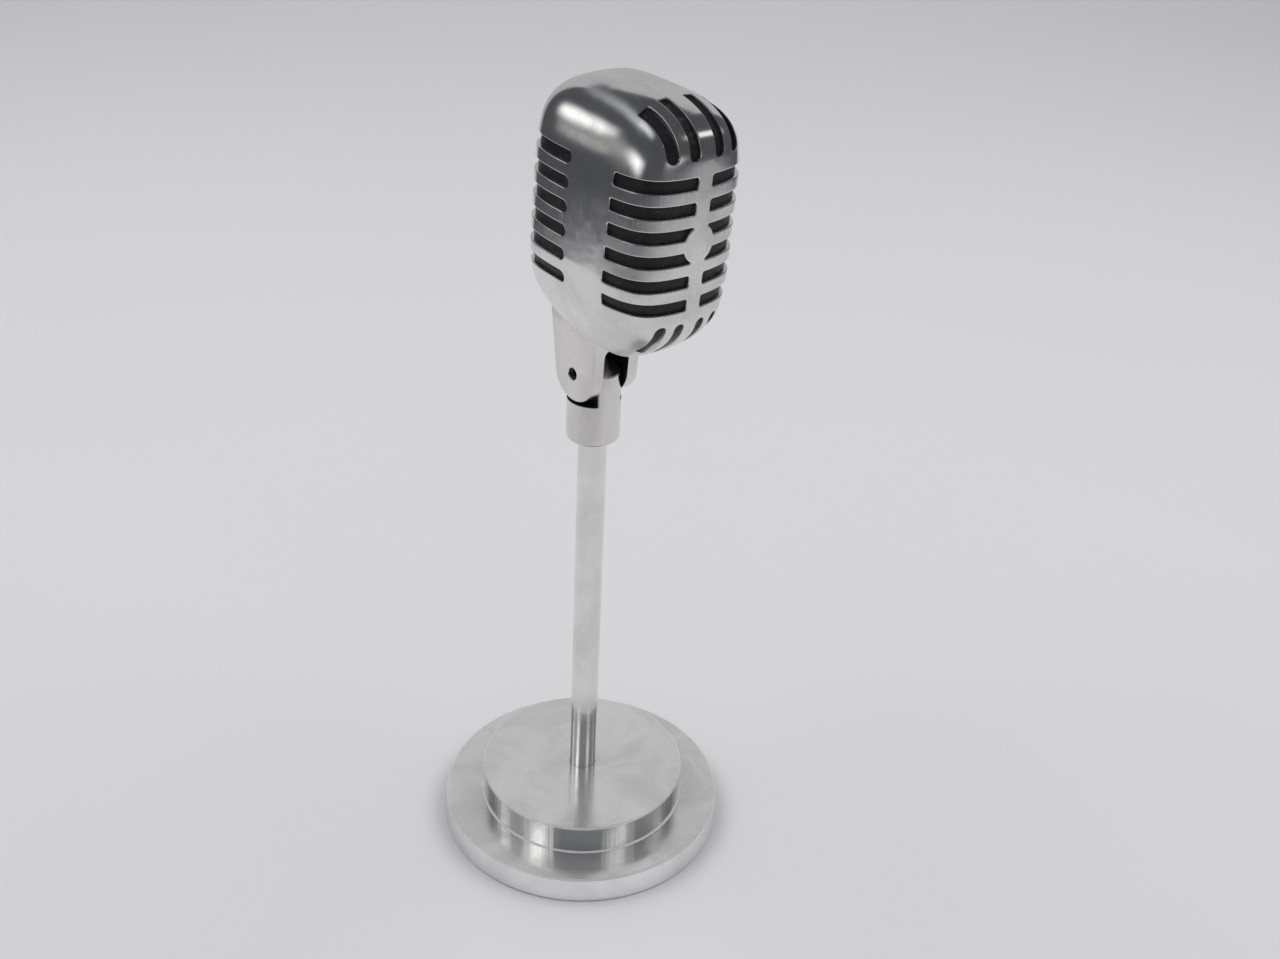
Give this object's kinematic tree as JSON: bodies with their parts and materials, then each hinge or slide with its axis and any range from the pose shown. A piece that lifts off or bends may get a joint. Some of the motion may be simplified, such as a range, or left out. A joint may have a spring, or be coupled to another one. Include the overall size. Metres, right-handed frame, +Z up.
{
  "type": "desk microphone",
  "caption": "Desk microphone: slotted round-edged metal head on a forked tilting swivel, slim round stem and a stepped round base.",
  "frame": {"origin": "centre of the base's underside, where it meets the table", "axes": "+Z up along the stem, -Y the way the head faces, +X to the head's left as it faces forward"},
  "size_m": [0.1226, 0.1226, 0.3277],
  "materials": {
    "felt": "grey pressed felt",
    "satin_aluminium": "satin turned and milled aluminium with fine pits",
    "polished_disc": "mirror-polished side, satin top",
    "polished_casting": "cast aluminium, polished on top and satin below",
    "screen_black": "black, slightly glossy",
    "dark_steel": "blackened steel",
    "steel": "plain zinc-grey steel",
    "fibre": "brown laminated fibre",
    "brass": "plain brass",
    "rubber": "black rubber",
    "housing_aluminium": "turned aluminium",
    "magnet_alloy": "cast magnet alloy, dark grey",
    "copper_winding": "lacquered copper wire",
    "diaphragm_foil": "thin matt sheet"
  },
  "bodies": {
    "stand": {"base_pad": "felt", "base_plate": "satin_aluminium", "base_riser": "polished_disc", "base_screws": "dark_steel", "stem": "satin_aluminium", "stem_washer": "steel", "stem_nut": "steel", "thrust_washer": "fibre"},
    "knuckle": {"knuckle": "satin_aluminium", "knuckle_set_screw": "dark_steel"},
    "head": {"yoke": "satin_aluminium", "pivot_pin": "dark_steel", "friction_washers": "brass", "yoke_screws": "steel", "front_shell": "polished_casting", "rear_shell": "polished_casting", "front_screen": "screen_black", "rear_screen": "screen_black", "grille_screw": "steel", "chassis_plate": "steel", "capsule_bracket": "steel", "bracket_screws": "steel", "shock_ring": "rubber", "capsule_housing": "housing_aluminium", "capsule_felt": "felt", "magnet_pot": "steel", "magnet": "magnet_alloy", "pole_piece": "steel", "top_plate": "steel", "voice_coil": "copper_winding", "diaphragm": "diaphragm_foil", "clamp_ring": "brass", "capsule_grille": "steel", "transformer_core": "dark_steel", "transformer_coil": "copper_winding", "transformer_strap": "steel", "transformer_screws": "steel", "terminal_board": "fibre", "terminal_lugs": "brass", "capsule_leads": "copper_winding", "outlet_leads": "copper_winding", "outlet_shell": "housing_aluminium", "outlet_nut": "steel", "outlet_insulator": "fibre", "outlet_contact": "brass"}
  },
  "joints": [
    {"name": "swivel", "type": "hinge", "parent": "stand", "child": "knuckle", "pos_m": [0, 0, 0.19], "axis": [0, 0, 1], "range_deg": [-180, 180]},
    {"name": "head_tilt", "type": "hinge", "parent": "knuckle", "child": "head", "pos_m": [0, 0, 0.2162], "axis": [1, 0, 0], "range_deg": [-49, 86]}
  ]
}
